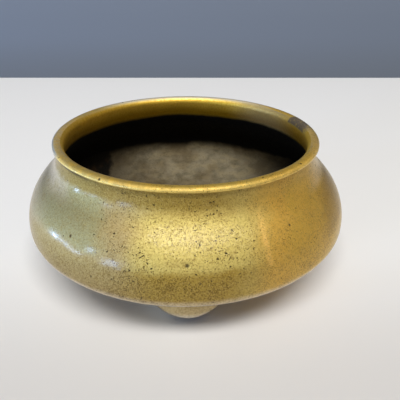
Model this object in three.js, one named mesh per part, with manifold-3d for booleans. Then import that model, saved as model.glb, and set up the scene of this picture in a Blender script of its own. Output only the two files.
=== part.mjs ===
// A squat cast-bronze incense burner that stands on three low rounded feet.
// The bowl, its short neck and its rolled rim are one casting, turned true on a lathe, so they are one revolved
// wall that is open at the mouth. Each foot is a small casting of its own: its top is a saddle cut to the curve of
// the underside, a short spigot on it enters a blind socket in the bowl, and a bead of braze runs round the joint.
// A shallow bed of ash lies in the bottom of the bowl.
// Millimetres, +Z up. The origin is on the table, under the centre of the bowl. The front foot points to -Y.

import * as THREE from 'three';
import { mergeVertices } from 'three/addons/utils/BufferGeometryUtils.js';
import Module from 'manifold-3d';

// Bowl. Heights are above the table.
const bellyRadius = 65;
const bellyHeight = 26.7;
const undersideHeight = 8.9;
const lowerFullness = 2.15; // power of the curve: 2 is an ellipse, more is fuller
const shoulderFullness = 2.06;
const shoulderEndHeight = 45;
const wall = 3;
const floorThickness = 3.8;

// Neck and rolled rim.
const neckRadius = 51;
const neckFlare = 5; // how far the shoulder's end stands out past the neck
const rimOverhang = 1.5;
const rimHeight = 58.6;
const rimUnderRadius = 0.6; // under the lip
const rimOuterRoll = 1.8; // width of the rounding from the crest out to the lip's edge
const rimOuterDrop = 1.5;
const rimInnerRoll = 2.2; // width of the rounding from the crest in to the mouth's wall
const rimInnerDrop = 2.7;

// Feet.
const footCount = 3;
const footInset = 26; // from the belly's widest ring in to a foot's axis
const footRadius = 16.5;
const footDomeHeight = 16.5;
const footFullness = 1.8; // power of the foot's curve: under 2 it runs to a blunt point
const footTipRadius = 2.4;
const spigotRadius = 2.5;
const spigotEntry = 1.5; // how far the socket goes into the bowl above its underside

// Braze bead round each foot, and the ash.
const beadWidth = 0.9;
const beadHeight = 0.9;
const ashDepth = 2.4;
const ashCrown = 0.6;

// Free space left between pieces that touch.
const fitGap = 0.3;

const bowlSegments = 60;
const footSegments = 36;
const spigotSegments = 20;
const quarterSteps = 10;
const neckSteps = 5;
const rollSteps = 4;

const wasm = await Module();
wasm.setup();

const point = (r, z) => new THREE.Vector2(r, z);
const neckWallRadius = neckRadius - wall; // the mouth's inner wall
const rimRadius = neckRadius + rimOverhang;
const shoulderEndRadius = neckRadius + neckFlare;
const footRingRadius = bellyRadius - footInset;

// A quarter of a superellipse, from the axis side (share 0) to the widest point (share 1).
function quarterPoint(radius, rise, power, share) {
  const t = (share * Math.PI) / 2;
  return point(radius * Math.sin(t) ** (2 / power), rise * Math.cos(t) ** (2 / power));
}

// Rise of the shoulder's superellipse, which passes through the shoulder's end.
const shoulderRise =
  (shoulderEndHeight - bellyHeight) /
  (1 - (shoulderEndRadius / bellyRadius) ** shoulderFullness) ** (1 / shoulderFullness);
const lowerRise = bellyHeight - undersideHeight;

// Height of the bowl's underside at a distance from the axis.
function undersideAt(r) {
  return bellyHeight - lowerRise * (1 - (r / bellyRadius) ** lowerFullness) ** (1 / lowerFullness);
}

// The belly's outside, from the middle of the underside, round the widest ring, to the shoulder's end.
function bellyCurve() {
  const points = [];
  for (let i = 0; i <= quarterSteps; i++) {
    const p = quarterPoint(bellyRadius, lowerRise, lowerFullness, i / quarterSteps);
    points.push(point(p.x, bellyHeight - p.y));
  }
  const endShare =
    (2 / Math.PI) * Math.asin((shoulderEndRadius / bellyRadius) ** (shoulderFullness / 2));
  for (let i = 1; i <= quarterSteps; i++) {
    const share = 1 + ((endShare - 1) * i) / quarterSteps;
    const p = quarterPoint(bellyRadius, shoulderRise, shoulderFullness, share);
    points.push(point(p.x, bellyHeight + p.y));
  }
  return points;
}

// Unit normals that point away from the metal, for a curve that runs upwards along the outside.
function outwardNormals(points) {
  return points.map((p, i) => {
    const before = points[Math.max(i - 1, 0)];
    const after = points[Math.min(i + 1, points.length - 1)];
    const along = after.clone().sub(before).normalize();
    return i === 0 ? point(0, -1) : point(along.y, -along.x);
  });
}

// The belly curve moved along its normals. distanceAt gives the distance for each point.
function offsetCurve(points, distanceAt) {
  const normals = outwardNormals(points);
  return points.map((p, i) => p.clone().addScaledVector(normals[i], distanceAt(p)));
}

// The wall is thickest in the middle of the floor and reaches its side thickness at the widest ring.
function wallAt(p) {
  if (p.y >= bellyHeight) return wall;
  return floorThickness + ((wall - floorThickness) * p.x) / bellyRadius;
}

const lipHeight = rimHeight - rimOuterDrop; // of the lip's widest edge
const neckTop = lipHeight - rimUnderRadius;

// The hollow of the neck, from the shoulder's end up to the underside of the lip.
function neckCurve() {
  const shoulder = bellyCurve();
  const end = shoulder[shoulder.length - 1];
  const along = end.clone().sub(shoulder[shoulder.length - 2]);
  const cornerHeight = end.y + ((end.x - neckRadius) * along.y) / -along.x;
  const corner = point(neckRadius, Math.min(cornerHeight, neckTop));
  return new THREE.QuadraticBezierCurve(end, corner, point(neckRadius, neckTop)).getPoints(neckSteps);
}

// The rolled rim, from under the lip, round its edge, over the crest and down to the mouth's wall.
function rimCurve() {
  const path = new THREE.Path();
  path.moveTo(rimRadius - rimUnderRadius, neckTop);
  path.absarc(rimRadius - rimUnderRadius, lipHeight, rimUnderRadius, -Math.PI / 2, 0);
  path.absellipse(rimRadius - rimOuterRoll, lipHeight, rimOuterRoll, rimOuterDrop, 0, Math.PI / 2);
  path.absellipse(
    neckWallRadius + rimInnerRoll,
    rimHeight - rimInnerDrop,
    rimInnerRoll,
    rimInnerDrop,
    Math.PI / 2,
    Math.PI,
  );
  return path.getPoints(rollSteps / 2);
}

// The outside of the belly and neck together, as one line.
const bodyCurve = () => [...bellyCurve(), ...neckCurve().slice(1)];

// The bowl's inside, from the foot of the rim's inner rounding down to the middle of the floor.
function insideCurve() {
  const inside = offsetCurve(bodyCurve(), (p) => -wallAt(p));
  inside[0].x = 0;
  return inside.filter((p) => p.y < rimHeight - rimInnerDrop - fitGap).reverse();
}

const vertexCopy = (v) => point(v.x, v.y);

// Drops a point that repeats the one before it.
function withoutRepeats(points) {
  return points.filter((p, i) => i === 0 || p.distanceTo(points[i - 1]) > 0.01).map(vertexCopy);
}

function bowlProfile() {
  return withoutRepeats([...bodyCurve(), ...rimCurve(), ...insideCurve()]);
}

// The outline of the bowl's outside, filled in and grown by a gap: what a foot's top is cut with.
function undersideCutter(gap) {
  const grown = offsetCurve(bellyCurve(), () => gap);
  const top = grown[grown.length - 1];
  return revolve([...grown, point(0, top.y)], bowlSegments);
}

// A closed profile turned about Z.
function revolve(profile, segments) {
  const geometry = new THREE.LatheGeometry(withoutRepeats(profile), segments);
  geometry.rotateX(Math.PI / 2);
  return geometry;
}

function solidFrom(geometry) {
  const bare = geometry.clone();
  bare.deleteAttribute('normal');
  bare.deleteAttribute('uv');
  const merged = mergeVertices(bare, 1e-3);
  const solid = new wasm.Manifold(
    new wasm.Mesh({
      numProp: 3,
      vertProperties: merged.attributes.position.array,
      triVerts: new Uint32Array(merged.index.array),
    }),
  );
  return solid;
}

function geometryFrom(solid) {
  const mesh = solid.getMesh();
  const geometry = new THREE.BufferGeometry();
  geometry.setAttribute('position', new THREE.BufferAttribute(mesh.vertProperties, 3));
  geometry.setIndex(new THREE.BufferAttribute(mesh.triVerts, 1));
  return geometry;
}

// An upright cylinder between two heights, at a foot's place.
function upright(radius, bottom, top, place) {
  const geometry = new THREE.CylinderGeometry(radius, radius, top - bottom, spigotSegments);
  geometry.rotateX(Math.PI / 2);
  geometry.translate(place.x, place.y, (bottom + top) / 2);
  return geometry;
}

// Foot places round the ring, the first at the front.
function footPlace(i) {
  const turn = -Math.PI / 2 + (i * 2 * Math.PI) / footCount;
  return point(footRingRadius * Math.cos(turn), footRingRadius * Math.sin(turn));
}

const socketTop = undersideAt(footRingRadius) + spigotEntry;
const footTop = undersideAt(footRingRadius + footRadius) + beadHeight + 2;

// The foot's side from its flat tip up, grown sideways by an amount. It runs on straight above the dome.
function footSide(growth) {
  const points = [];
  const tipShare = (2 / Math.PI) * Math.asin((footTipRadius / footRadius) ** (footFullness / 2));
  const tipDrop = quarterPoint(footRadius, footDomeHeight, footFullness, tipShare).y;
  for (let i = 0; i <= quarterSteps; i++) {
    const share = tipShare + ((1 - tipShare) * i) / quarterSteps;
    const p = quarterPoint(footRadius, footDomeHeight, footFullness, share);
    points.push(point(p.x + growth, tipDrop - p.y));
  }
  points.push(point(footRadius + growth, footTop));
  return points;
}

function footBlank(growth) {
  const side = footSide(growth);
  return revolve([point(0, 0), ...side, point(0, footTop)], footSegments);
}

function placed(geometry, place) {
  return geometry.translate(place.x, place.y, 0);
}

function makeFoot(i) {
  const place = footPlace(i);
  const blank = solidFrom(placed(footBlank(0), place));
  const saddled = blank.subtract(solidFrom(undersideCutter(fitGap)));
  const spigotRoot = undersideAt(footRingRadius - spigotRadius) - 2;
  const spigot = solidFrom(upright(spigotRadius, spigotRoot, socketTop - fitGap, place));
  return geometryFrom(saddled.add(spigot));
}

// The bead fills the angle between the foot's side and the underside.
function makeBead(i) {
  const place = footPlace(i);
  const outer = solidFrom(placed(footBlank(fitGap + beadWidth), place));
  const inner = solidFrom(placed(footBlank(fitGap), place));
  const ring = outer.subtract(inner);
  const below = ring.subtract(solidFrom(undersideCutter(fitGap)));
  return geometryFrom(below.intersect(solidFrom(undersideCutter(fitGap + beadHeight))));
}

function makeBowl() {
  let bowl = solidFrom(revolve(bowlProfile(), bowlSegments));
  for (let i = 0; i < footCount; i++) {
    const socket = upright(spigotRadius + fitGap, 0, socketTop, footPlace(i));
    bowl = bowl.subtract(solidFrom(socket));
  }
  return geometryFrom(bowl);
}

// The ash follows the floor that it lies on and is slightly heaped in the middle.
function makeAsh() {
  const floor = offsetCurve(bellyCurve(), (p) => -wallAt(p) - fitGap);
  floor[0].x = 0;
  const level = floor[0].y + ashDepth;
  const bed = floor.slice(0, quarterSteps).filter((p) => p.y < level);
  const edge = bed[bed.length - 1];
  const next = floor[bed.length];
  const reach = edge.x + ((next.x - edge.x) * (level - edge.y)) / (next.y - edge.y);
  const heap = [];
  const heapSteps = 5;
  for (let i = 0; i <= heapSteps; i++) {
    const share = i / heapSteps;
    heap.push(point(reach * (1 - share), level + ashCrown * Math.sin((share * Math.PI) / 2) ** 2));
  }
  return revolve([...bed, ...heap], footSegments);
}

const bronze = new THREE.MeshStandardMaterial({ color: 0xa88a3c, roughness: 0.38, metalness: 1 });
const braze = new THREE.MeshStandardMaterial({ color: 0x8f7a45, roughness: 0.5, metalness: 1 });
const ash = new THREE.MeshStandardMaterial({ color: 0x7d7464, roughness: 0.95, metalness: 0 });

function named(name, geometry, material) {
  const mesh = new THREE.Mesh(geometry, material);
  mesh.name = name;
  return mesh;
}

const burner = new THREE.Group();
burner.add(named('bowl', makeBowl(), bronze));
['front', 'rear_right', 'rear_left'].forEach((side, i) => {
  burner.add(named(`foot_${side}`, makeFoot(i), bronze));
  burner.add(named(`braze_bead_${side}`, makeBead(i), braze));
});
burner.add(named('ash_bed', makeAsh(), ash));

export default burner;
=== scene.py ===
import math

import bpy
import numpy as np
from mathutils import Matrix, Vector, noise


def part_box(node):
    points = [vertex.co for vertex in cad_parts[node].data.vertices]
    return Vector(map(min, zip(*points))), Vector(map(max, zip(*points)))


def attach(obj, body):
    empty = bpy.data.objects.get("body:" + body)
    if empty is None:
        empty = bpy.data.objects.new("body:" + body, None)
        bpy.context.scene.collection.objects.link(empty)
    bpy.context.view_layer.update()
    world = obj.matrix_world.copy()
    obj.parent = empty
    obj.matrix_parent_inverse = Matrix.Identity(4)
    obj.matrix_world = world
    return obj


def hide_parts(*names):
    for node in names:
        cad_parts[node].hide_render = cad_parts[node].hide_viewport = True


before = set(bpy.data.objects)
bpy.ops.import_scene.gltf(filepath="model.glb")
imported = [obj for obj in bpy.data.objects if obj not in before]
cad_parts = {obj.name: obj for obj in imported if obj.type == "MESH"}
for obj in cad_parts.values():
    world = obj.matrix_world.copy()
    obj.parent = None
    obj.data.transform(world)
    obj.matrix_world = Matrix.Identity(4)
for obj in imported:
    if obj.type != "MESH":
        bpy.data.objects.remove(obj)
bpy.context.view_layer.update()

MM = 0.001
QUARTER_TURN = math.pi / 2
FULL_TURN = 2 * math.pi

# The part's named sizes in millimetres, as the solids have them.
BELLY_R, BELLY_Z, UNDER_Z = 65.0, 26.7, 8.9
LOWER_POWER, SHOULDER_POWER = 2.15, 2.06
SHOULDER_R, SHOULDER_Z = 56.0, 45.0
WALL, FLOOR = 3.0, 3.8
NECK_R = 51.0
RIM_R, RIM_Z = 52.5, 58.6
RIM_UNDER = 0.6
OUTER_ROLL, OUTER_DROP = 1.8, 1.5
INNER_ROLL, INNER_DROP = 2.2, 2.7
FOOT_RING, FOOT_R, FOOT_DOME = 39.0, 16.5, 16.5
FOOT_TIP, FOOT_POWER = 2.4, 1.8
ASH_DEPTH, ASH_CROWN = 2.4, 0.6

SHOULDER_SPREAD = 1 - (SHOULDER_R / BELLY_R) ** SHOULDER_POWER
SHOULDER_RISE = (SHOULDER_Z - BELLY_Z) / SHOULDER_SPREAD ** (1 / SHOULDER_POWER)
THROAT_R = NECK_R - WALL
LIP_Z = RIM_Z - OUTER_DROP
NECK_TOP = LIP_Z - RIM_UNDER
FOOT_TIP_DROP = FOOT_DOME * (1 - (FOOT_TIP / FOOT_R) ** FOOT_POWER) ** (1 / FOOT_POWER)

# Points on each profile curve before it is respaced.
LOWER_POINTS, SHOULDER_POINTS, NECK_POINTS = 400, 300, 120
UNDER_POINTS, ROLL_POINTS = 30, 60
# The inside stops this far below its roll, which the rim's own curve draws.
INSIDE_GAP = 0.3

# How closely the skins' points lie along the profiles, in millimetres, and how many steps they
# take round. The underside is coarser up to a radius, and the inside up to a height.
UNDERSIDE_STEP, OUTSIDE_STEP, RIM_STEP = 1.6, 0.62, 0.25
NECK_STEP, INSIDE_STEP = 0.6, 1.3
COARSE_R, COARSE_Z = 36, 44
HEAP_STEP, BED_STEP, HEAP_POINTS = 0.9, 3.0, 60
BOWL_SEGMENTS, FOOT_SEGMENTS, BEAD_SEGMENTS, ASH_SEGMENTS = 600, 120, 160, 180
FOOT_ROWS, BEAD_ROWS = 26, 12

# The waves in each skin, as (height, length, seed), and how far inside its solid the skin lies.
OUTSIDE_WAVES, OUTSIDE_INSET = ((0.07, 34, 1), (0.03, 11, 2)), 0.09
INSIDE_WAVES, INSIDE_INSET = ((0.12, 12, 3), (0.05, 4, 4)), 0.1
ASH_WAVES, ASH_INSET = ((0.35, 7, 11), (0.16, 2.2, 12)), 0.15
FOOT_WAVE, FOOT_WAVE_LENGTH, FOOT_SEED, FOOT_INSET = 0.10, 9, 5, 0.06
BEAD_WAVE, BEAD_WAVE_LENGTH, BEAD_SEED = 0.16, 5, 8
# The waves fade out over this height above a foot's tip, and this far in from the ash's edge.
FOOT_FADE, ASH_FADE = 1.5, 4

# The rim's worn metal gives way to the inside's material at this radius.
GOLD_R = 49.2
# Each foot's top goes this far into the bowl, and its rows crowd toward the tip by this power.
FOOT_SINK, FOOT_CROWDING = 0.35, 1.7
FOOT_TIP_SHARES = (0.35, 0.7, 1.0)
# A bead's mean radius, its breadth and height as shares of that, and where its middle lies.
BEAD_RADIUS, BEAD_BREADTH, BEAD_RISE = 0.75, 0.9, 0.8
BEAD_OUT, BEAD_UP = 0.15, 0.1
# The ash's bed ends this far below its level, and stands this far off the bowl.
BED_DROP, BED_GAP = 0.3, 0.25
# The search for the height where a foot meets the underside.
JOINT_TOP, JOINT_HALVINGS = 30.0, 30

# Larger pits and knocks: place on the surface, radius and depth in millimetres.
DENTS = [
    (-0.1, -62.3, 37.2, 1.15, 0.34), (-38.4, -47.6, 39.1, 1.0, 0.16),
    (33.8, -47.7, 42.6, 0.9, 0.14), (11.5, -50.9, 54.6, 0.8, 0.16),
    (-6.0, -52.3, 56.9, 0.8, 0.2), (-27.7, -44.2, 58.0, 0.85, 0.2),
    (38.8, -33.6, 58.4, 0.85, 0.2), (24.1, -44.7, 58.6, 0.7, 0.15),
    (-28.6, -39.4, 58.4, 0.9, 0.25), (56.2, 20.5, 37.0, 1.0, 0.15),
    (-12.0, 60.6, 36.4, 1.1, 0.2), (-54.3, 13.0, 40.6, 0.9, 0.15),
    (35.0, 48.6, 39.3, 0.9, 0.15), (-30.5, 40.3, 58.4, 0.8, 0.18),
    (20.7, 58.4, 21.5, 1.1, 0.2),
]


# Profiles: lists of points (radius, height) in millimetres.
def underside(r):
    drop = (1 - (r / BELLY_R) ** LOWER_POWER) ** (1 / LOWER_POWER)
    return BELLY_Z - (BELLY_Z - UNDER_Z) * drop


def lower_curve():
    t = np.linspace(0, QUARTER_TURN, LOWER_POINTS)
    r = BELLY_R * np.sin(t) ** (2 / LOWER_POWER)
    z = BELLY_Z - (BELLY_Z - UNDER_Z) * np.cos(t) ** (2 / LOWER_POWER)
    return np.stack([r, z], 1)


def upper_curve():
    end = math.asin((SHOULDER_R / BELLY_R) ** (SHOULDER_POWER / 2))
    t = np.linspace(QUARTER_TURN, end, SHOULDER_POINTS)
    r = BELLY_R * np.sin(t) ** (2 / SHOULDER_POWER)
    z = BELLY_Z + SHOULDER_RISE * np.cos(t) ** (2 / SHOULDER_POWER)
    return np.stack([r, z], 1)


def neck_curve():
    """The hollow of the neck: it leaves along the shoulder and ends upright."""
    shoulder = upper_curve()
    end, along = shoulder[-1], shoulder[-1] - shoulder[-2]
    corner = np.array([NECK_R, end[1] + (end[0] - NECK_R) * along[1] / -along[0]])
    t = np.linspace(0, 1, NECK_POINTS)[:, None]
    return (1 - t) ** 2 * end + 2 * t * (1 - t) * corner + t ** 2 * np.array([NECK_R, NECK_TOP])


def arc(centre_r, centre_z, across, up, start, end, count):
    t = np.linspace(start, end, count)
    return np.stack([centre_r + across * np.cos(t), centre_z + up * np.sin(t)], 1)


def rim_curve():
    return np.concatenate([
        arc(RIM_R - RIM_UNDER, LIP_Z, RIM_UNDER, RIM_UNDER, -QUARTER_TURN, 0, UNDER_POINTS),
        arc(RIM_R - OUTER_ROLL, LIP_Z, OUTER_ROLL, OUTER_DROP, 0, QUARTER_TURN, ROLL_POINTS),
        arc(THROAT_R + INNER_ROLL, RIM_Z - INNER_DROP, INNER_ROLL, INNER_DROP,
            QUARTER_TURN, 2 * QUARTER_TURN, ROLL_POINTS),
    ])


def outer_curve():
    return np.concatenate([lower_curve(), upper_curve()[1:], neck_curve()[1:]])


def normals_of(points):
    d = np.gradient(points, axis=0)
    d /= np.linalg.norm(d, axis=1)[:, None]
    return np.stack([d[:, 1], -d[:, 0]], 1)


def inside_curve():
    """The outside set back by the wall, from the mouth down to the middle of the floor."""
    outer = outer_curve()
    r, z = outer[:, 0], outer[:, 1]
    thick = np.where(z >= BELLY_Z, WALL, FLOOR + (WALL - FLOOR) * r / BELLY_R)
    inner = outer - normals_of(outer) * thick[:, None]
    inner[0, 0] = 0
    return inner[inner[:, 1] < RIM_Z - INNER_DROP - INSIDE_GAP][::-1]


def respace(points, spacing):
    """Points along the curve at about the spacing asked for at each place."""
    keep = np.concatenate([[True], np.linalg.norm(np.diff(points, axis=0), axis=1) > 1e-6])
    points = points[keep]
    gaps = np.linalg.norm(np.diff(points, axis=0), axis=1)
    length = np.concatenate([[0], np.cumsum(gaps)])
    step = np.array([spacing(p) for p in points])
    steps = np.diff(length) / (0.5 * (step[1:] + step[:-1]))
    count = np.concatenate([[0], np.cumsum(steps)])
    at = np.interp(np.linspace(0, count[-1], int(round(count[-1])) + 1), count, length)
    return np.stack([np.interp(at, length, points[:, k]) for k in (0, 1)], 1)


# Meshes.
def directions(segments):
    """Unit vectors round the Z axis."""
    turns = [FULL_TURN * j / segments for j in range(segments)]
    return [Vector((math.cos(turn), math.sin(turn), 0)) for turn in turns]


def strips(rings):
    """Faces between neighbouring rings of vertex numbers, and the row that each is in."""
    faces, rows = [], []
    for row, (a, b) in enumerate(zip(rings, rings[1:])):
        for j in range(len(a)):
            k = (j + 1) % len(a)
            quad = [a[j], a[k], b[k], b[j]]
            face = [v for n, v in enumerate(quad) if v not in quad[:n]]
            if len(face) > 2:
                faces.append(face)
                rows.append(row)
    return faces, rows


def add_piece(name, verts, faces, materials, slots=None):
    """A smooth mesh object. verts are in metres, slots say which material each face has."""
    mesh = bpy.data.meshes.new(name)
    mesh.from_pydata(verts, [], faces)
    for material in materials:
        mesh.materials.append(material)
    if slots:
        mesh.polygons.foreach_set("material_index", slots)
    mesh.polygons.foreach_set("use_smooth", [True] * len(faces))
    mesh.update()
    piece = bpy.data.objects.new(name, mesh)
    bpy.context.scene.collection.objects.link(piece)
    return piece


def revolve(name, rings, segments, move, materials, slot_of):
    """A surface turned about Z.

    move(place, normal, row) gives each point's final place in millimetres, and slot_of(row)
    the material of the faces above a row.
    """
    verts, index = [], []
    turn = directions(segments)
    for row, ((r, z), (nr, nz)) in enumerate(zip(rings, normals_of(rings))):
        if r < 1e-6:
            index.append([len(verts)] * segments)
            verts.append(move(Vector((0, 0, z)), Vector((0, 0, nz)), row) * MM)
            continue
        index.append(list(range(len(verts), len(verts) + segments)))
        for way in turn:
            place, normal = way * r, way * nr
            place.z, normal.z = z, nz
            verts.append(move(place, normal, row) * MM)
    faces, rows = strips(index)
    return add_piece(name, verts, faces, materials, [slot_of(row) for row in rows])


def wander(p, length, seed):
    """Smooth noise between about -1 and 1. p is in millimetres."""
    return noise.noise(p * (1 / length) + Vector((seed * 17.3, seed * 5.1, seed * 9.7)))


def waves(p, terms, inset):
    """How far a skin's point moves outward."""
    return sum(height * wander(p, length, seed) for height, length, seed in terms) - inset


# Materials. All their places and sizes are in millimetres, and their colours are linear.
# How ragged the pits are, and the share of a pit's radius where its floor begins.
WARP_SCALE, WARP_REACH, PIT_FLOOR = 2.2, 1.1, 0.7
# The part of a dent's radius that is dark, and the part that is wholly so.
DENT_DARK, DENT_DARKEST = 0.75, 0.3


class Nodes:
    """A new material, with short names for the nodes that it is built from."""

    def __init__(self, name):
        self.material = bpy.data.materials.new(name)
        self.material.use_nodes = True
        self.tree = self.material.node_tree
        self.tree.nodes.clear()
        out = self.tree.nodes.new("ShaderNodeOutputMaterial")
        self.shader = self.tree.nodes.new("ShaderNodeBsdfPrincipled")
        self.link(self.shader.outputs[0], out.inputs["Surface"])
        coords = self.tree.nodes.new("ShaderNodeTexCoord")
        scale = self.tree.nodes.new("ShaderNodeVectorMath")
        scale.operation = "SCALE"
        scale.inputs["Scale"].default_value = 1 / MM
        self.link(coords.outputs["Object"], scale.inputs[0])
        self.mm = scale.outputs[0]

    def link(self, a, b):
        self.tree.links.new(a, b)

    def put(self, socket, value):
        """Gives a socket a link, a colour or a number."""
        if isinstance(value, bpy.types.NodeSocket):
            self.link(value, socket)
        elif isinstance(value, tuple):
            socket.default_value = (*value, 1)
        else:
            socket.default_value = value

    def shade(self, **values):
        """Sets the shader's sockets: base_color is Base Color, and so on."""
        for name, value in values.items():
            self.put(self.shader.inputs[name.replace("_", " ").title().replace("Ior", "IOR")], value)

    def math(self, op, *values, clamp=False):
        n = self.tree.nodes.new("ShaderNodeMath")
        n.operation = op
        n.use_clamp = clamp
        for socket, value in zip(n.inputs, values):
            self.put(socket, value)
        return n.outputs[0]

    def fold(self, op, values):
        total = values[0]
        for value in values[1:]:
            total = self.math(op, total, value)
        return total

    def times(self, *values):
        return self.fold("MULTIPLY", values)

    def plus(self, *values):
        return self.fold("ADD", values)

    def most(self, *values):
        return self.fold("MAXIMUM", values)

    def minus(self, a, b):
        return self.math("SUBTRACT", a, b)

    def ramp(self, value, lo, hi, to_lo=0.0, to_hi=1.0):
        """A smooth step from to_lo at lo to to_hi at hi. lo may be above hi."""
        n = self.tree.nodes.new("ShaderNodeMapRange")
        n.interpolation_type = "SMOOTHSTEP"
        for socket, number in zip(n.inputs, (value, lo, hi, to_lo, to_hi)):
            self.put(socket, number)
        return n.outputs[0]

    def band(self, value, rise, fall):
        """1 between two limits, each a pair: where it starts to change and where it ends."""
        return self.times(self.ramp(value, *rise), self.ramp(value, *fall))

    def shifted(self, value, uneven, reach):
        """value moved by up to about half of reach either way, so that a limit on it is uneven."""
        return self.plus(value, self.times(self.minus(uneven, 0.5), reach))

    def mix(self, share, a, b):
        n = self.tree.nodes.new("ShaderNodeMix")
        n.data_type = "RGBA"
        self.put(n.inputs["Factor"], share)
        self.put(n.inputs[6], a)
        self.put(n.inputs[7], b)
        return n.outputs[2]

    def noise(self, size, detail=3.0, rough=0.55, shift=(0, 0, 0), stretch=(1, 1, 1), distort=0.0):
        """Noise with features about size millimetres across, from 0 to 1."""
        m = self.tree.nodes.new("ShaderNodeMapping")
        m.inputs["Location"].default_value = shift
        m.inputs["Scale"].default_value = stretch
        self.link(self.mm, m.inputs["Vector"])
        n = self.tree.nodes.new("ShaderNodeTexNoise")
        self.link(m.outputs[0], n.inputs["Vector"])
        n.inputs["Scale"].default_value = 1.0 / size
        n.inputs["Detail"].default_value = detail
        n.inputs["Roughness"].default_value = rough
        n.inputs["Distortion"].default_value = distort
        return n.outputs["Fac"]

    def warped(self, size):
        """The coordinates pushed about by up to half of size, so that round pits become ragged."""
        n = self.tree.nodes.new("ShaderNodeTexNoise")
        self.link(self.mm, n.inputs["Vector"])
        n.inputs["Scale"].default_value = WARP_SCALE / size
        n.inputs["Detail"].default_value = 1.0
        push = self.tree.nodes.new("ShaderNodeVectorMath")
        push.operation = "MULTIPLY_ADD"
        self.link(n.outputs["Color"], push.inputs[0])
        push.inputs[1].default_value = (size * WARP_REACH,) * 3
        self.link(self.mm, push.inputs[2])
        return push.outputs[0]

    def pits(self, size, radius, share, shift):
        """Ragged pits: 1 in the middle of one, 0 outside. share of the cells have one."""
        m = self.tree.nodes.new("ShaderNodeMapping")
        m.inputs["Location"].default_value = shift
        self.link(self.warped(size), m.inputs["Vector"])
        n = self.tree.nodes.new("ShaderNodeTexVoronoi")
        self.link(m.outputs[0], n.inputs["Vector"])
        n.inputs["Scale"].default_value = 1.0 / size
        pick = self.tree.nodes.new("ShaderNodeSeparateColor")
        self.link(n.outputs["Color"], pick.inputs[0])
        own = self.ramp(n.outputs["Distance"], radius / size, radius * PIT_FLOOR / size)
        return self.times(own, self.math("LESS_THAN", pick.outputs[0], share))

    def axes(self):
        """x, y, z and the distance from the Z axis."""
        n = self.tree.nodes.new("ShaderNodeSeparateXYZ")
        self.link(self.mm, n.inputs[0])
        x, y, z = n.outputs
        r = self.math("SQRT", self.plus(self.times(x, x), self.times(y, y)))
        return x, y, z, r

    def near(self, place, outer, inner):
        """1 within inner millimetres of a place, 0 beyond outer."""
        n = self.tree.nodes.new("ShaderNodeVectorMath")
        n.operation = "DISTANCE"
        self.link(self.mm, n.inputs[0])
        n.inputs[1].default_value = place
        return self.ramp(n.outputs["Value"], outer, inner)

    def bump(self, height, distance, below=None):
        n = self.tree.nodes.new("ShaderNodeBump")
        n.inputs["Distance"].default_value = distance * MM
        self.put(n.inputs["Height"], height)
        if below is not None:
            self.link(below, n.inputs["Normal"])
        return n.outputs[0]


# The bowl's outside and the feet.
OLD_GOLD, BROWN_GOLD = (0.64, 0.50, 0.16), (0.53, 0.39, 0.10)
CLOTH_REFLECTION_TAN, ROOM_REFLECTION_OLIVE = (0.47, 0.36, 0.18), (0.43, 0.385, 0.19)
WARM_REFLECTION_ORANGE, WARM_REFLECTION_RED = (0.74, 0.47, 0.09), (0.69, 0.465, 0.08)
FAR_RIGHT_SHADE_BROWN, RIGHT_NECK_SHEEN_PALE = (0.42, 0.25, 0.035), (0.86, 0.68, 0.42)
FAR_LEFT_LIGHT_BROWN = (0.52, 0.42, 0.26)
LEFT_NECK_SHEEN_TAN, LEFT_NECK_SHEEN_PALE = (0.68, 0.57, 0.40), (0.90, 0.77, 0.57)
REFLECTED_STREAK_RED, HIGHLIGHT_BAND_GOLD = (1.0, 0.66, 0.20), (0.69, 0.57, 0.19)
LOW_SHADE_BROWN, LOW_LEFT_SHADE_BROWN = (0.43, 0.285, 0.04), (0.44, 0.325, 0.125)
HOLLOW_SHADE_BROWN = (0.35, 0.235, 0.04)
FOOT_DUST_AND_SHEEN_PALE, FOOT_TIP_SHADE_BROWN = (0.80, 0.72, 0.56), (0.22, 0.17, 0.09)
UNDERSIDE_SHADE_BROWN, LOW_EDGE_REFLECTION_PALE = (0.16, 0.11, 0.045), (0.74, 0.62, 0.42)
MOTTLE_BROWN, FINE_BROWN, GRAIN_PALE = (0.40, 0.28, 0.08), (0.27, 0.165, 0.03), (0.82, 0.66, 0.26)
LIP_GOLD, CREST_GOLD = (0.98, 0.72, 0.20), (0.74, 0.50, 0.08)
SPECK_BROWN, UNDER_LIP_SHADE, BACK_LIP_SHADE_BROWN = (0.15, 0.08, 0.008), (0.05, 0.035, 0.02), (0.14, 0.115, 0.05)
HIGHLIGHT_PALE, PATCH_BROWN, PIT_BROWN = (0.96, 0.90, 0.74), (0.062, 0.052, 0.052), (0.035, 0.02, 0.005)
# How much of the patch shows.
PATCH_SHARE = 0.92


def rim_patch(n, x, y, z):
    """A dark patch of old patina on the rim's right, with a sharp end at the back."""
    uneven = n.noise(1.6, 3, 0.6, shift=(3, 3, 7))
    front = n.ramp(n.shifted(y, uneven, 8), -4, 6)
    back = n.ramp(n.shifted(y, uneven, 1.5), 18, 17)
    around = n.times(n.ramp(x, 43, 44), n.ramp(z, 55.4, 56.6))
    return n.times(back, front, around, n.ramp(uneven, 0.3, 0.5, 0.7, 1.0))


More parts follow.
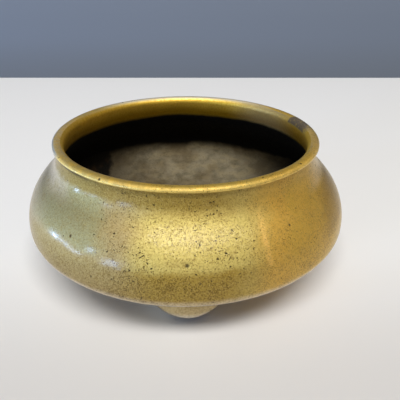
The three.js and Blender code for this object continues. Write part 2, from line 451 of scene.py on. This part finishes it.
def bronze_material(name, foot=False):
    n = Nodes(name)
    x, y, z, r = n.axes()
    big = n.noise(34, 2, shift=(3, 8, 1))
    mid = n.noise(9, 3, shift=(11, 2, 5))
    small = n.noise(2.6, 3, 0.6, shift=(4, 1, 6))
    fine = n.noise(0.7, 4, 0.62, shift=(1, 5, 9))
    grain = n.noise(0.42, 2, 0.6, shift=(7, 3, 2))
    # x moved about a little, so that a change across the bowl has no straight limit.
    side = n.shifted(x, mid, 9)

    # Old gold with browner drifts; the greener left and redder right are painted reflections of the
    # room.
    base = n.mix(n.ramp(big, 0.38, 0.66, 0.0, 0.7), OLD_GOLD, BROWN_GOLD)
    base = n.mix(n.ramp(side, -8, -22, 0.0, 0.8), base, CLOTH_REFLECTION_TAN)
    olive_reflection = n.times(n.ramp(side, -24, -31), n.ramp(n.shifted(z, mid, 5), 35, 38.5))
    base = n.mix(n.times(olive_reflection, 0.92), base, ROOM_REFLECTION_OLIVE)
    base = n.mix(n.ramp(side, 16, 30, 0.0, 0.95), base, WARM_REFLECTION_ORANGE)
    base = n.mix(n.times(n.ramp(side, 31, 36), n.ramp(mid, 0.3, 0.7, 0.35, 0.8)), base, WARM_REFLECTION_RED)

    # The far right is browner, a painted shade, and paler in the neck, a painted sheen.
    far = n.times(n.ramp(n.shifted(x, small, 4), 46, 52), n.band(z, (31, 35), (47, 44.5)))
    base = n.mix(n.times(far, 0.6), base, FAR_RIGHT_SHADE_BROWN)
    far = n.times(n.ramp(n.shifted(x, small, 4), 42, 48), n.ramp(z, 45, 47.5), n.ramp(y, 15, 2))
    base = n.mix(n.times(far, 0.55), base, RIGHT_NECK_SHEEN_PALE)
    # The far left likewise, a lighter brown as painted light, and its neck is paler in two steps, a
    # painted sheen.
    base = n.mix(n.ramp(n.shifted(x, mid, 6), -48, -57, 0.0, 0.6), base, FAR_LEFT_LIGHT_BROWN)
    far = n.times(n.ramp(n.shifted(x, mid, 6), -38, -45), n.ramp(n.shifted(z, mid, 3), 43, 48))
    base = n.mix(n.times(far, 0.65), base, LEFT_NECK_SHEEN_TAN)
    far = n.times(n.ramp(n.shifted(x, small, 3), -44, -50), n.ramp(n.shifted(z, mid, 3), 43, 50))
    base = n.mix(n.times(far, 0.75), base, LEFT_NECK_SHEEN_PALE)

    # A thin redder streak, a painted reflection, leans down the right of the belly.
    across = n.plus(x, n.times(z, 0.22), n.times(n.minus(small, 0.5), 3.0))
    streak = n.ramp(n.math("ABSOLUTE", n.minus(across, 33.8)), 1.7, 0.2)
    streak = n.times(streak, n.ramp(y, 0, -10), n.band(z, (33, 35), (50, 47)))
    base = n.mix(n.times(streak, n.ramp(mid, 0.35, 0.6, 0.1, 0.65)), base, REFLECTED_STREAK_RED)

    # A brighter band painted as a highlight, with painted shade below it and in the hollow of the
    # neck.
    highlight_band = n.times(n.ramp(n.shifted(z, mid, 3), 50, 46.5), n.band(side, (-22, -8), (28, 15)))
    base = n.mix(n.times(highlight_band, 0.85), base, HIGHLIGHT_BAND_GOLD)
    low = n.times(n.ramp(n.shifted(z, mid, 4), 36.5, 33.5), n.ramp(side, 12, 30, 1.0, 0.1))
    low_shade_colour = n.mix(n.ramp(side, -8, -26), LOW_SHADE_BROWN, LOW_LEFT_SHADE_BROWN)
    base = n.mix(n.times(low, 0.85), base, low_shade_colour)
    hollow = n.times(n.ramp(n.shifted(z, small, 3), 49.5, 52), n.ramp(r, 50.2, 50.7))
    hollow = n.times(hollow, n.ramp(z, 57.2, 56.6))
    base = n.mix(n.times(hollow, n.ramp(side, 6, 20, 0.75, 0.25)), base, HOLLOW_SHADE_BROWN)

    if foot:
        # The feet are paler, partly dust and partly a painted reflection of the cloth, and darker at
        # their tips, a painted contact shade.
        base = n.mix(n.ramp(n.shifted(z, small, 3), 11, 7, 0.3, 0.9), base, FOOT_DUST_AND_SHEEN_PALE)
        base = n.mix(n.ramp(n.shifted(z, small, 1), 4.0, 1.8, 0.0, 0.85), base, FOOT_TIP_SHADE_BROWN)
    else:
        # The underside is painted dark as shade under the bowl, and the belly's lower edge gets a
        # pale painted reflection.
        base = n.mix(n.ramp(n.shifted(z, mid, 1.5), 13.0, 10.8, 0.0, 0.9), base, UNDERSIDE_SHADE_BROWN)
        low_edge_reflection = n.times(n.ramp(z, 15.5, 18.5), n.ramp(n.shifted(z, small, 1.5), 25.8, 23.8))
        base = n.mix(n.times(low_edge_reflection, 0.6), base, LOW_EDGE_REFLECTION_PALE)

    # Mottling at three scales, the last a sandy grain.
    base = n.mix(n.ramp(small, 0.5, 0.74, 0.0, 0.35), base, MOTTLE_BROWN)
    base = n.mix(n.times(n.ramp(fine, 0.45, 0.70), n.ramp(z, 38, 32, 0.32, 0.50)), base, FINE_BROWN)
    base = n.mix(n.ramp(grain, 0.50, 0.70, 0.0, 0.30), base, GRAIN_PALE)

    # Where it is rubbed bright: the lip and the crest of the rim.
    on_rim = n.times(n.ramp(z, 56.6, 57.2), n.ramp(r, 47.9, 48.4))
    rim_colour = n.mix(n.ramp(z, 58.0, 58.5), LIP_GOLD, CREST_GOLD)
    base = n.mix(n.times(on_rim, n.ramp(small, 0.3, 0.6, 0.85, 0.45)), base, rim_colour)

    # Brown specks, thick low on the front.
    crowd = n.times(n.ramp(z, 37, 31), n.ramp(side, 24, 6, 0.2, 1.0), 0.02 if foot else 0.085)
    clouds = n.times(n.minus(n.noise(5, 3, shift=(6, 2, 8)), 0.5), 0.28)
    specks = n.plus(n.noise(0.44, 2, 0.6, shift=(8, 3, 1)), crowd, clouds)
    specks = n.times(n.ramp(specks, 0.59, 0.68), n.ramp(side, -30, -12, 0.4, 0.7))
    base = n.mix(specks, base, SPECK_BROWN)

    # Painted shade in the corner under the lip, on the left, and a dark outline of painted shade
    # round the back of the lip.
    corner = n.times(n.band(z, (54.4, 55.8), (57.3, 57.1)), n.ramp(n.shifted(x, small, 10), -28, -38))
    base = n.mix(n.times(corner, 0.9), base, UNDER_LIP_SHADE)
    back_lip_shade = n.times(n.ramp(y, 3, 10), n.ramp(r, 51.5, 52.0), n.ramp(z, 58.3, 57.9))
    base = n.mix(n.times(back_lip_shade, 0.75), base, BACK_LIP_SHADE_BROWN)
    # The lip's outer face at the left and its crest at the back are painted pale, as highlights.
    lip_face = n.times(n.band(z, (57.1, 57.3), (58.4, 58.1)), n.ramp(r, 51.2, 51.8))
    at_left = n.times(n.ramp(x, -44, -48), n.ramp(n.math("ABSOLUTE", n.plus(y, 12)), 17, 10))
    lip_highlight = n.times(lip_face, at_left)
    crest_highlight = n.times(on_rim, n.ramp(y, 26, 44, 0.0, 0.75))
    base = n.mix(n.most(lip_highlight, crest_highlight), base, HIGHLIGHT_PALE)

    patch = rim_patch(n, x, y, z)
    base = n.mix(n.times(patch, PATCH_SHARE), base, PATCH_BROWN)

    # Casting pits: fine ones in drifts, and a few larger ones.
    drift = n.ramp(n.noise(11, 4, 0.6, shift=(2, 9, 4)), 0.42, 0.60, 0.05, 1.0)
    sides = n.math("MINIMUM", n.ramp(side, 14, 30, 1.0, 0.15), n.ramp(side, -34, -24, 0.25, 1.0))
    drift = n.times(drift, sides, n.ramp(z, 56.0, 57.0, 1.0, 0.12), 0.1 if foot else 1.0)
    fine_pits = n.noise(0.46, 1.0, 0.5, shift=(5, 5, 2), distort=0.6)
    fine_pits = n.plus(fine_pits, n.times(drift, n.ramp(side, 6, -8, 0.08, 0.105)))
    fine_pits = n.ramp(fine_pits, 0.75, 0.775, 0.0, 0.85)
    more_pits = n.pits(1.15, 0.33, n.times(drift, drift, 0.42), (5, 1, 7))
    wide_pits = n.pits(6.5, 0.55, 0.22, (2, 6, 1))
    dents = [n.near(place, wide * DENT_DARK, wide * DENT_DARKEST) for *place, wide, _ in DENTS]
    pit = n.most(fine_pits, more_pits, wide_pits, *dents)
    base = n.mix(n.times(pit, 0.95), base, PIT_BROWN)

    dull = n.most(pit, patch)
    rough = n.plus(n.ramp(fine, 0.3, 0.7, 0.60, 0.74), n.times(highlight_band, 0.05), n.times(on_rim, 0.06))
    rough = n.plus(rough, n.times(n.minus(big, 0.5), 0.10))
    rough = n.minus(rough, n.times(on_rim, n.ramp(z, 57.9, 57.2), 0.25))
    rough = n.minus(rough, n.times(lip_highlight, 0.25))
    rough = n.math("ADD", rough, n.times(dull, 0.25), clamp=True)
    # A sandy surface is glossier seen along it.
    slant = n.tree.nodes.new("ShaderNodeLayerWeight").outputs["Facing"]
    gloss = n.times(n.ramp(slant, 0.6, 0.92), n.ramp(z, 22, 27, 0.7, 0.42))
    rough = n.times(rough, n.minus(1.0, gloss))

    soft = n.bump(n.noise(4.5, 2, shift=(9, 9, 3)), 0.08)
    skin = n.bump(n.plus(n.times(fine, 0.6), n.times(grain, 0.4)), 0.045, below=soft)
    # A film of wax, thinner in the neck and scratched away where the bowl is rubbed.
    worn = n.times(n.plus(fine, grain), n.ramp(side, -16, -5, 0.12, 1.5))
    n.shade(base_color=base, metallic=n.ramp(dull, 0, 1, 1.0, 0.2), roughness=rough,
            normal=n.bump(n.minus(1.0, pit), 0.15, below=skin),
            coat_weight=n.ramp(n.shifted(z, mid, 2), 43, 47, 0.42, 0.20), coat_roughness=0.16,
            coat_normal=n.bump(worn, 0.06, below=soft), specular_ior_level=0.2)
    return n.material


# The bowl's inside.
MOUTH_GOLD, MOUTH_BROWN, DEEP_SHADE_BROWN = (0.80, 0.52, 0.07), (0.60, 0.37, 0.03), (0.26, 0.15, 0.004)
INNER_CREST_HIGHLIGHT, REFLECTION_GREY = (0.97, 0.86, 0.50), (0.64, 0.56, 0.38)
CRUST_DARK, CRUST_LIGHT = (0.135, 0.115, 0.072), (0.225, 0.19, 0.125)
CRUST_STREAK, CRUST_DRIFT = (0.26, 0.21, 0.12), (0.085, 0.063, 0.032)
CRUST_SPECK = (0.05, 0.036, 0.018)
STAIN_BROWN, LEFT_SHADE_DARK, FLOOR_BROWN = (0.085, 0.052, 0.017), (0.04, 0.028, 0.014), (0.10, 0.07, 0.028)
SOOT_AND_SHADE, SOOT_AND_SHADE_BROWN = (0.0016, 0.0013, 0.0011), (0.022, 0.010, 0.003)


def interior_material():
    n = Nodes("bronze_inside")
    x, y, z, _ = n.axes()
    big = n.noise(20, 3, shift=(5, 1, 2))
    mid = n.noise(5, 4, 0.6, shift=(1, 1, 8))
    fine = n.noise(0.9, 4, 0.65, shift=(4, 5, 1))
    streak = n.noise(3.2, 3, 0.6, shift=(2, 7, 3), stretch=(0.45, 0.45, 1.6))

    # Bare brown-gold metal at the mouth, darker further down as painted shade, a painted highlight on
    # the crest and a painted grey reflection at the back right.
    depth = n.shifted(z, big, 3)
    gold = n.mix(n.ramp(fine, 0.4, 0.7, 0.0, 0.5), MOUTH_GOLD, MOUTH_BROWN)
    gold = n.mix(n.ramp(depth, 57.0, 51.0, 0.0, 0.9), gold, DEEP_SHADE_BROWN)
    inner_crest_highlight = n.times(n.ramp(z, 57.2, 58.3), n.ramp(y, 5, 40, 0.0, 0.6))
    gold = n.mix(inner_crest_highlight, gold, INNER_CREST_HIGHLIGHT)
    gold = n.mix(n.times(n.near((37, 30, 55.5), 24, 3), 0.40), gold, REFLECTION_GREY)
    patch = rim_patch(n, x, y, z)
    gold = n.mix(n.times(patch, PATCH_SHARE), gold, PATCH_BROWN)

    # Soot under the shoulder, its black partly painted shade of the overhang, and a grey-brown crust
    # below it.
    crust = n.mix(n.ramp(mid, 0.3, 0.7), CRUST_DARK, CRUST_LIGHT)
    crust = n.mix(n.ramp(streak, 0.45, 0.65, 0.0, 0.6), crust, CRUST_STREAK)
    crust = n.mix(n.ramp(big, 0.5, 0.7, 0.0, 0.6), crust, CRUST_DRIFT)
    crust = n.mix(n.ramp(fine, 0.5, 0.75, 0.0, 0.45), crust, CRUST_SPECK)
    # Browner stains toward the front and right.
    stain = n.times(n.ramp(big, 0.46, 0.54), n.ramp(n.minus(x, y), 5, 30, 0.25, 0.7))
    crust = n.mix(stain, crust, STAIN_BROWN)
    # Painted shade: the crust is darker toward the left.
    crust = n.mix(n.ramp(n.shifted(x, mid, 10), -8, -38, 0.0, 0.7), crust, LEFT_SHADE_DARK)
    crust = n.mix(n.ramp(n.shifted(z, mid, 2), 17, 14, 0.0, 0.5), crust, FLOOR_BROWN)
    # The crust gives way to painted shadow on the left, where it ends sharply, and thins out to the
    # right.
    bend = n.times(n.most(n.minus(8.0, y), 0.0), 0.3)
    left_edge = n.ramp(n.plus(bend, n.shifted(x, mid, 4)), -38.5, -41)
    painted_shadow = n.times(n.most(left_edge, n.ramp(n.shifted(x, mid, 14), 24, 56)), n.ramp(z, 13, 16))
    height = n.shifted(n.shifted(z, big, 6), mid, 2)
    soot_and_shade = n.most(n.ramp(height, 27, 31.5), n.times(painted_shadow, 0.93))
    soot_and_shade_colour = n.mix(n.times(n.ramp(mid, 0.5, 0.7), n.ramp(height, 30, 26)), SOOT_AND_SHADE, SOOT_AND_SHADE_BROWN)

    metal = n.ramp(depth, 48.6, 51.0)
    n.shade(base_color=n.mix(metal, n.mix(soot_and_shade, crust, soot_and_shade_colour), gold),
            metallic=n.times(metal, n.minus(1.0, n.times(patch, 0.8))),
            roughness=n.minus(n.ramp(fine, 0.3, 0.7, 0.75, 0.95), n.times(metal, 0.27)),
            normal=n.bump(fine, 0.08, below=n.bump(mid, 0.25)), specular_ior_level=0.12)
    return n.material


BRAZE_GOLD, BRAZE_BROWN, BRAZE_SPECK = (0.34, 0.25, 0.085), (0.22, 0.16, 0.06), (0.09, 0.065, 0.03)
ASH_BROWN, ASH_GREY, ASH_SPECK = (0.17, 0.145, 0.10), (0.26, 0.23, 0.175), (0.10, 0.085, 0.06)


def braze_material():
    n = Nodes("braze")
    fine = n.noise(0.8, 4, 0.6)
    base = n.mix(n.ramp(n.noise(4, 2, shift=(2, 2, 2)), 0.35, 0.65), BRAZE_GOLD, BRAZE_BROWN)
    base = n.mix(n.ramp(fine, 0.5, 0.7, 0.0, 0.6), base, BRAZE_SPECK)
    n.shade(base_color=base, metallic=0.9, roughness=n.ramp(fine, 0.3, 0.7, 0.42, 0.62),
            normal=n.bump(fine, 0.06))
    return n.material


def ash_material():
    n = Nodes("ash")
    fine = n.noise(0.5, 5, 0.7)
    mid = n.noise(3.5, 4, 0.6, shift=(3, 3, 3))
    base = n.mix(n.ramp(mid, 0.35, 0.65), ASH_BROWN, ASH_GREY)
    base = n.mix(n.ramp(fine, 0.55, 0.75, 0.0, 0.55), base, ASH_SPECK)
    n.shade(base_color=base, roughness=n.ramp(fine, 0.3, 0.7, 0.88, 1.0),
            normal=n.bump(fine, 0.15, below=n.bump(mid, 0.4)))
    return n.material


BRONZE = bronze_material("bronze")
FOOT_BRONZE = bronze_material("bronze_foot", foot=True)
INSIDE = interior_material()
BRAZE = braze_material()
ASH = ash_material()


# The pieces of the burner.
def make_bowl():
    def outside_spacing(p):
        return UNDERSIDE_STEP if p[0] < COARSE_R and p[1] < BELLY_Z else OUTSIDE_STEP

    outer = respace(outer_curve(), outside_spacing)
    rim = respace(rim_curve(), lambda p: RIM_STEP)
    inside = respace(inside_curve(), lambda p: NECK_STEP if p[1] > COARSE_Z else INSIDE_STEP)
    rings = np.concatenate([outer, rim, inside])
    gold_rows = len(outer) + int(np.argmax((rim[:, 0] < GOLD_R) & (rim[:, 1] > LIP_Z)))
    inside_from = len(outer) + len(rim)

    def move(p, normal, row):
        # The outside wanders a little, as turned and rubbed metal does, and the crust inside more.
        if row > inside_from:
            depth = waves(p, INSIDE_WAVES, INSIDE_INSET)
        else:
            depth = waves(p, OUTSIDE_WAVES, OUTSIDE_INSET)
        for x, y, z, wide, deep in DENTS:
            if abs(p.z - z) < wide and abs(p.x - x) < wide:
                away = (p - Vector((x, y, z))).length / wide
                depth -= deep * max(0.0, 1 - away * away) ** 2
        return p + normal * depth

    bowl = revolve("bowl_skin", rings, BOWL_SEGMENTS, move, [BRONZE, INSIDE],
                   lambda row: 0 if row < gold_rows else 1)
    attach(bowl, "root")
    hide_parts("bowl")


def foot_place(number):
    """The middle of a foot on the table. The first is in front, on -Y."""
    turn = -QUARTER_TURN + number * FULL_TURN / 3
    return Vector((FOOT_RING * math.cos(turn), FOOT_RING * math.sin(turn), 0))


def foot_radius(z):
    """Radius of the foot at a height."""
    drop = max(0.0, FOOT_TIP_DROP - z)
    return FOOT_R * max(0.0, 1 - (drop / FOOT_DOME) ** FOOT_POWER) ** (1 / FOOT_POWER)


def joint_height(place, way, sink=0.0):
    """Where the foot's side meets the underside, looking along a direction from the foot's centre."""
    lo, hi = 0.0, JOINT_TOP
    for _ in range(JOINT_HALVINGS):
        z = (lo + hi) / 2
        if z < underside((place + way * foot_radius(z)).length) + sink:
            lo = z
        else:
            hi = z
    return lo


def make_foot(number, side):
    place = foot_place(number)
    turn = directions(FOOT_SEGMENTS)
    # The flat tip, from its middle out.
    verts, index = [place * MM], [[0] * FOOT_SEGMENTS]
    for share in FOOT_TIP_SHARES:
        index.append(list(range(len(verts), len(verts) + FOOT_SEGMENTS)))
        verts += [(place + way * (FOOT_TIP * share)) * MM for way in turn]
    # The side, with its rows close together near the tip, where it is flattest.
    tops = [joint_height(place, way, FOOT_SINK) for way in turn]
    for row in range(1, FOOT_ROWS + 1):
        index.append(list(range(len(verts), len(verts) + FOOT_SEGMENTS)))
        for way, top in zip(turn, tops):
            z = top * (row / FOOT_ROWS) ** FOOT_CROWDING
            p = place + way * foot_radius(z) + Vector((0, 0, z))
            bulge = FOOT_WAVE * wander(p, FOOT_WAVE_LENGTH, FOOT_SEED + number) - FOOT_INSET
            p += way * (bulge * min(1.0, z / FOOT_FADE))
            verts.append(p * MM)
    faces = [face[::-1] for face in strips(index)[0]]
    # The hidden top.
    top = index[-1]
    centre = len(verts)
    verts.append((place + Vector((0, 0, underside(FOOT_RING) + FOOT_SINK))) * MM)
    faces += [[top[(j + 1) % FOOT_SEGMENTS], centre, top[j]] for j in range(FOOT_SEGMENTS)]
    foot = add_piece(f"foot_{side}_skin", verts, faces, [FOOT_BRONZE])
    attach(foot, "root")
    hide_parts(f"foot_{side}")


def make_bead(number, side):
    """A low bead that follows the joint of foot and underside."""
    place = foot_place(number)
    verts, faces = [], []
    for way in directions(BEAD_SEGMENTS):
        z = joint_height(place, way)
        centre = place + way * foot_radius(z) + Vector((0, 0, z))
        fat = BEAD_RADIUS + BEAD_WAVE * wander(centre, BEAD_WAVE_LENGTH, BEAD_SEED + number)
        for k in range(BEAD_ROWS):
            b = FULL_TURN * k / BEAD_ROWS
            out = BEAD_OUT + fat * BEAD_BREADTH * math.cos(b)
            up = BEAD_UP + fat * BEAD_RISE * math.sin(b)
            verts.append((centre + way * out + Vector((0, 0, up))) * MM)
    for j in range(BEAD_SEGMENTS):
        a, b = j * BEAD_ROWS, (j + 1) % BEAD_SEGMENTS * BEAD_ROWS
        for k in range(BEAD_ROWS):
            k2 = (k + 1) % BEAD_ROWS
            faces.append([a + k, b + k, b + k2, a + k2])
    bead = add_piece(f"braze_bead_{side}_skin", verts, faces, [BRAZE])
    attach(bead, "root")
    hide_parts(f"braze_bead_{side}")


def make_ash():
    """The bed of ash, lumpy on top, in the bottom of the bowl."""
    low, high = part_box("ash_bed")
    reach = high[0] / MM
    level = low[2] / MM + ASH_DEPTH
    share = np.linspace(1, 0, HEAP_POINTS)
    crown = np.stack([reach * share, level + ASH_CROWN * np.cos(share * QUARTER_TURN) ** 2], 1)
    heap = respace(crown, lambda p: HEAP_STEP)
    floor = inside_curve()[::-1]
    floor = floor[floor[:, 1] < level - BED_DROP]
    bed = respace(floor + np.array([0, BED_GAP]), lambda p: BED_STEP)

    def move(p, normal, row):
        if row < len(bed):
            return p
        fade = min(1.0, (reach - math.hypot(p.x, p.y)) / ASH_FADE)
        return p + Vector((0, 0, waves(p, ASH_WAVES, ASH_INSET) * fade))

    ash = revolve("ash_skin", np.concatenate([bed, heap]), ASH_SEGMENTS, move, [ASH], lambda row: 0)
    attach(ash, "root")
    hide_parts("ash_bed")


make_bowl()
for foot_number, foot_side in enumerate(("front", "rear_right", "rear_left")):
    make_foot(foot_number, foot_side)
    make_bead(foot_number, foot_side)
make_ash()


# The stage: a pale table, darker toward the front as painted shade, and a grey-blue wall well behind
# it. Places in metres.
CLOTH_NEAR_SHADED, CLOTH_FAR = (0.685, 0.665, 0.65), (0.90, 0.89, 0.885)
WALL_BLUE = (0.27, 0.30, 0.355)
TABLE_REACH, TABLE_EDGE = 2, 0.345
WALL_REACH, WALL_PLACE, WALL_BOTTOM, WALL_TOP = 3, 0.9, -1.5, 0.6


def stage_material(name, near, far):
    """A matt colour that changes a little from front to back."""
    n = Nodes(name)
    _, y, _, _ = n.axes()
    n.shade(base_color=n.mix(n.ramp(y, -85, 10), near, far), roughness=0.9, specular_ior_level=0.1)
    return n.material


def quad(name, corners, material):
    piece = add_piece(name, corners, [(0, 1, 2, 3)], [material])


quad("table", [(-TABLE_REACH, -TABLE_REACH, 0), (TABLE_REACH, -TABLE_REACH, 0),
               (TABLE_REACH, TABLE_EDGE, 0), (-TABLE_REACH, TABLE_EDGE, 0)],
     stage_material("cloth", CLOTH_NEAR_SHADED, CLOTH_FAR))
quad("wall", [(-WALL_REACH, WALL_PLACE, WALL_BOTTOM), (WALL_REACH, WALL_PLACE, WALL_BOTTOM),
              (WALL_REACH, WALL_PLACE, WALL_TOP), (-WALL_REACH, WALL_PLACE, WALL_TOP)],
     stage_material("wall", WALL_BLUE, WALL_BLUE))


# The camera at the photo's viewpoint. Lengths in metres, lens in millimetres, angles in degrees.
CAMERA_PLACE = Vector((0, -0.1732, 0.1193))
CAMERA_LENS, SENSOR_WIDTH, CLIP_START = 40.5, 36, 0.005
CAMERA_PITCH, CAMERA_YAW, CAMERA_ROLL = 28.15, 1.88, 0.45


def add_camera():
    data = bpy.data.cameras.new("camera")
    data.sensor_width = SENSOR_WIDTH
    data.lens = CAMERA_LENS
    data.clip_start = CLIP_START
    camera = bpy.data.objects.new("camera", data)
    bpy.context.scene.collection.objects.link(camera)
    pitch, yaw, roll = (math.radians(angle) for angle in (CAMERA_PITCH, CAMERA_YAW, CAMERA_ROLL))
    level = math.cos(pitch)
    forward = Vector((math.sin(yaw) * level, math.cos(yaw) * level, -math.sin(pitch)))
    right = Vector((math.cos(yaw), -math.sin(yaw), 0))
    up = right.cross(forward)
    across = math.cos(roll) * right + math.sin(roll) * up
    upward = -math.sin(roll) * right + math.cos(roll) * up
    turn = Matrix((across, upward, -forward)).transposed().to_4x4()
    camera.matrix_world = Matrix.Translation(CAMERA_PLACE) @ turn
    bpy.context.scene.camera = camera


# The lamps look at the bowl from LAMP_DISTANCE metres. Azimuth 0 is in front, on -Y, and 90 is on +X.
LAMP_DISTANCE = 2.6
LAMP_TARGET = Vector((0, 0, 0.03))
DAYLIGHT, PANE_BLUE = (1.0, 0.99, 0.96), (0.44, 0.63, 1.0)
COOL, WARM = (0.90, 0.93, 1.0), (1.0, 0.86, 0.66)
# Name, azimuth, elevation, width and height as seen from the bowl, in degrees, brightness, colour.
LAMPS = [
    ("window", 2, 58.5, 40, 11, 22.8, DAYLIGHT),
    ("window_wall", 8, 70, 76, 26, 0.30, DAYLIGHT),
    ("room_left", -96, 18, 70, 30, 0.20, COOL),
    ("room_right", 94, 20, 56, 34, 0.34, WARM),
    # Small bright panes on the left, which make the crisp highlights.
    ("pane_0", -49.5, 7, 11, 10, 22, PANE_BLUE),
    ("pane_1", -66, 13.5, 4.5, 6, 38, PANE_BLUE),
    ("pane_2", -80, 2, 17, 1.5, 62, PANE_BLUE),
    ("pane_3", -96, 0.5, 4, 3, 170, PANE_BLUE),
]
ROOM_COLOUR, ROOM_STRENGTH = (0.98, 0.99, 1.0), 0.035


def add_lamp(name, azimuth, elevation, wide, tall, brightness, colour):
    data = bpy.data.lights.new(name, "AREA")
    data.shape = "RECTANGLE"
    data.size = 2 * LAMP_DISTANCE * math.tan(math.radians(wide / 2))
    data.size_y = 2 * LAMP_DISTANCE * math.tan(math.radians(tall / 2))
    data.energy = brightness * math.pi * data.size * data.size_y
    data.color = colour
    lamp = bpy.data.objects.new(name, data)
    bpy.context.scene.collection.objects.link(lamp)
    a, e = math.radians(azimuth), math.radians(elevation)
    away = Vector((math.sin(a) * math.cos(e), -math.cos(a) * math.cos(e), math.sin(e)))
    lamp.location = away * LAMP_DISTANCE + LAMP_TARGET
    lamp.rotation_mode = "QUATERNION"
    lamp.rotation_quaternion = away.to_track_quat("Z", "Y")


def add_room():
    """A plain dim surround."""
    world = bpy.data.worlds.new("room")
    bpy.context.scene.world = world
    world.use_nodes = True
    background = world.node_tree.nodes["Background"]
    background.inputs["Color"].default_value = (*ROOM_COLOUR, 1)
    background.inputs["Strength"].default_value = ROOM_STRENGTH


add_camera()
for lamp_values in LAMPS:
    add_lamp(*lamp_values)
add_room()

bpy.context.scene.view_settings.view_transform = "Standard"
